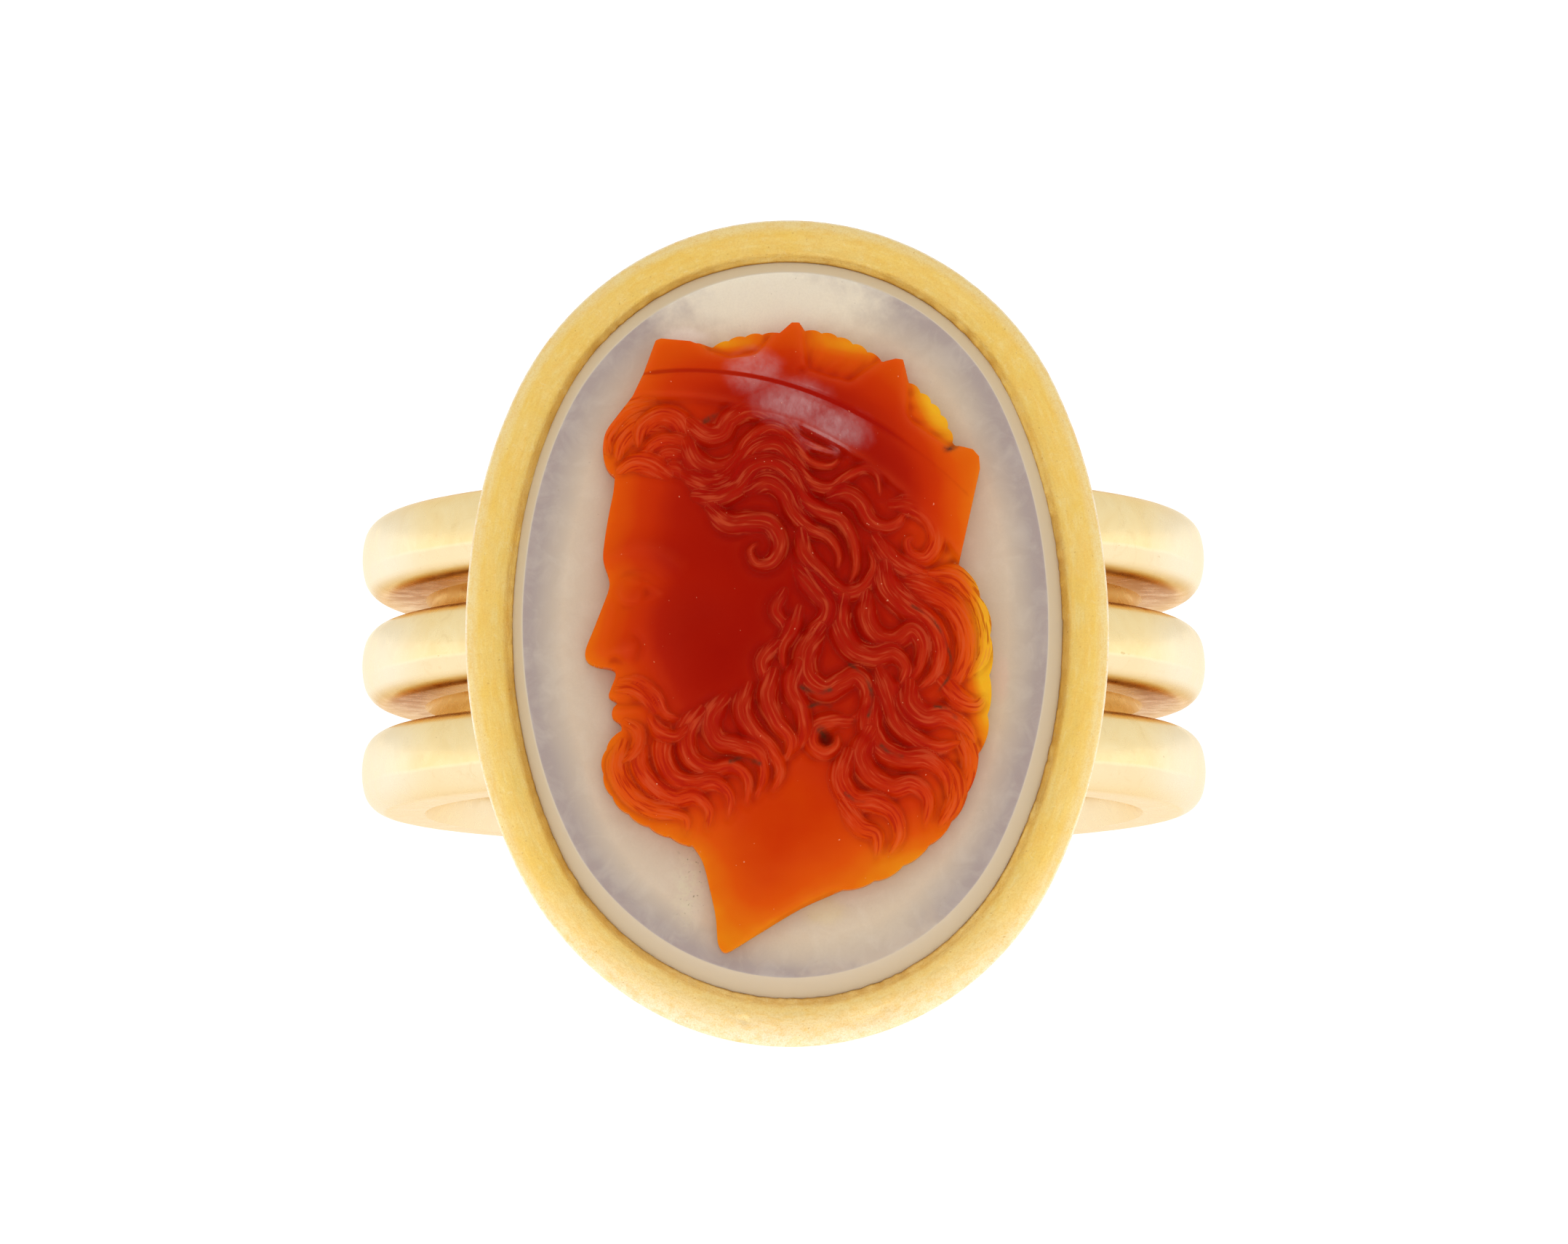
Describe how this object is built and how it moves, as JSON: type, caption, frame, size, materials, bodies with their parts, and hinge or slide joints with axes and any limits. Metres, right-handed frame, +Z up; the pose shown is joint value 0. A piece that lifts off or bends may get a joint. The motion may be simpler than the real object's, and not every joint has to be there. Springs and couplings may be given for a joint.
{
  "type": "cameo ring",
  "caption": "Gold ring with a shank of parallel hoops and an oval bezel that holds a two-layer stone carved as a crowned head in profile.",
  "frame": {"origin": "on the surface that the ring lies on, under the middle of its box", "axes": "+Z up from the surface, -Y towards the front of the stone, +X to the right of the stone seen from the front"},
  "size_m": [0.0214, 0.0274, 0.0191],
  "materials": {
    "gold": "yellow gold, satin rim and polished hoops with fine wear",
    "pale_stone": "translucent pale chalcedony, polished, lavender-grey towards its edge",
    "red_stone": "translucent orange-red carnelian, polished"
  },
  "bodies": {
    "root": {"gold_mount": "gold", "stone_ground": "pale_stone", "stone_relief": "red_stone"}
  },
  "joints": []
}
